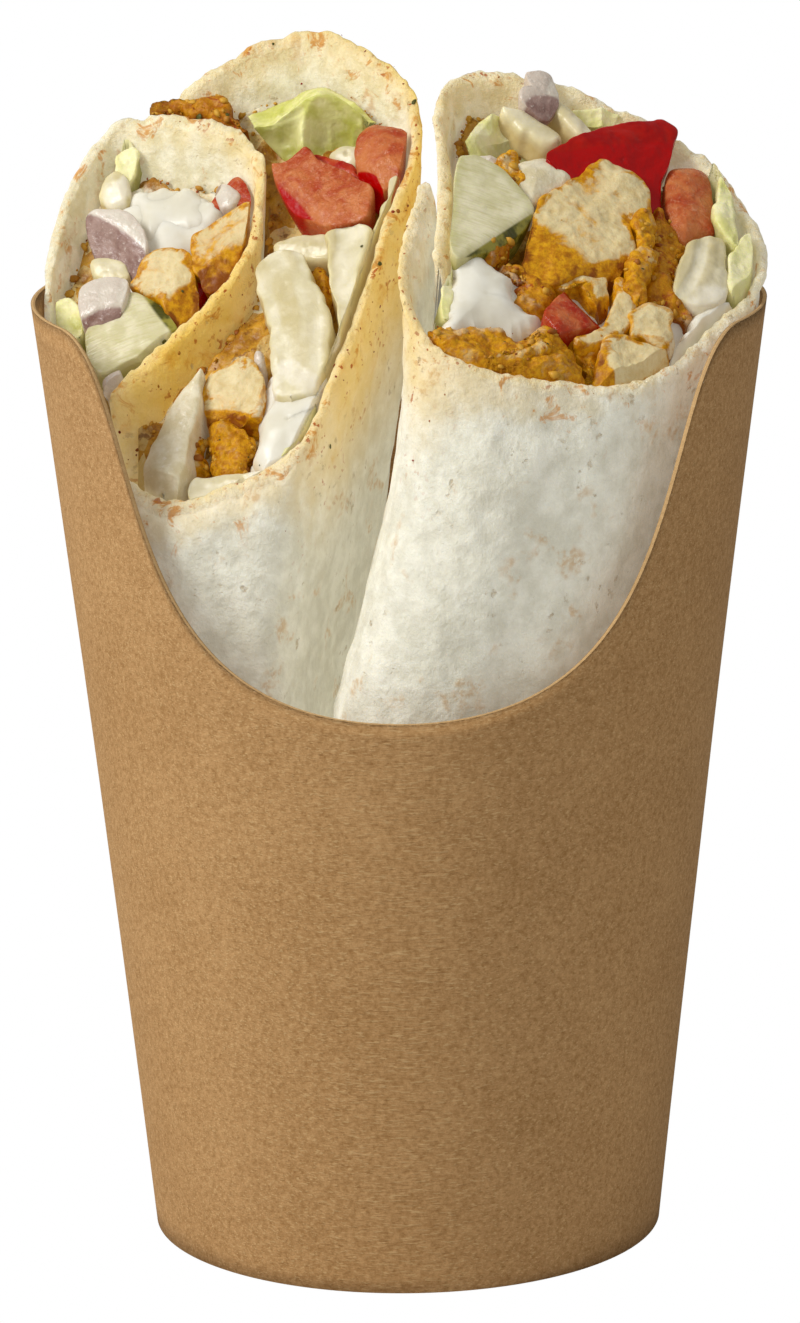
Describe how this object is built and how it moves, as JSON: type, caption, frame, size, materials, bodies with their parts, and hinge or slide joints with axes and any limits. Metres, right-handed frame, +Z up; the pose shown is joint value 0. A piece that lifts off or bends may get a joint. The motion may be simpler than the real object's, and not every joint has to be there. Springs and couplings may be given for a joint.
{
  "type": "chicken shawarma wrap",
  "caption": "Chicken shawarma wrap cut on the slant, its halves standing cut face up in a scooped kraft paperboard cup.",
  "frame": {"origin": "on the surface the cup stands on, under the middle of the bounding box", "axes": "+Z up; the cup's low scooped side and the food's cut faces look towards -Y; +X to the viewer's right"},
  "size_m": [0.0908, 0.0854, 0.1483],
  "materials": {
    "paperboard": "plain uncoated brown kraft board",
    "flatbread": "soft wheat flatbread, matt, with toasted freckles and spice stains",
    "packed_filling": "chopped chicken, cabbage and sauce packed together",
    "spiced_chicken": "grilled chicken with turmeric and paprika marinade",
    "pale_chicken": "cut face of cooked chicken breast, moist",
    "tomato": "wet ripe tomato flesh and skin",
    "cucumber": "wet cucumber flesh with a green rind",
    "red_onion": "raw red onion, glossy, purple at its edges",
    "lettuce": "crisp lettuce leaf, light green",
    "white_cabbage": "shredded white cabbage, thick pale ribs",
    "garlic_sauce": "thick white garlic sauce, smooth and wet"
  },
  "bodies": {
    "root": {"cup_wall": "paperboard", "cup_base": "paperboard", "tortilla_left": "flatbread", "tortilla_right": "flatbread", "filling_left_inner": "packed_filling", "filling_left_outer": "packed_filling", "filling_right": "packed_filling", "tomato_curl_left": "tomato", "tomato_large_left": "tomato", "cabbage_rib": "white_cabbage", "cabbage_strip_middle": "white_cabbage", "cabbage_strip_side": "white_cabbage", "onion_long": "red_onion", "chicken_low_pale": "pale_chicken", "chicken_low_crumbly": "spiced_chicken", "sauce_low": "garlic_sauce", "lettuce_low": "lettuce", "chicken_low_side": "spiced_chicken", "cabbage_rim": "white_cabbage", "chicken_top": "spiced_chicken", "onion_red_upper": "red_onion", "onion_red_lower": "red_onion", "onion_red_small": "red_onion", "chicken_slice": "spiced_chicken", "chicken_slab": "pale_chicken", "cucumber_left": "cucumber", "tomato_dark_left": "tomato", "tomato_small_left": "tomato", "sauce_upper_left": "garlic_sauce", "lettuce_wall": "lettuce", "lettuce_edge_left": "lettuce", "onion_top": "red_onion", "tomato_strip": "tomato", "chicken_ridge": "spiced_chicken", "chicken_large": "pale_chicken", "cucumber_right": "cucumber", "onion_white": "red_onion", "chicken_fleck": "spiced_chicken", "tomato_pink": "tomato", "cabbage_block": "white_cabbage", "chicken_spiced_slab": "spiced_chicken", "lettuce_ribbon_outer": "lettuce", "lettuce_ribbon_inner": "lettuce", "tomato_wedge": "tomato", "chicken_cube_middle": "pale_chicken", "chicken_cube_small": "pale_chicken", "chicken_cube_front": "pale_chicken", "chicken_front": "spiced_chicken", "chicken_middle": "spiced_chicken", "chicken_curl": "pale_chicken", "chicken_strip": "spiced_chicken", "sauce_left": "garlic_sauce", "sauce_right": "garlic_sauce", "lettuce_strip_left": "lettuce", "lettuce_leaf": "lettuce", "lettuce_back_left": "lettuce", "lettuce_back_right": "lettuce"}
  },
  "joints": []
}
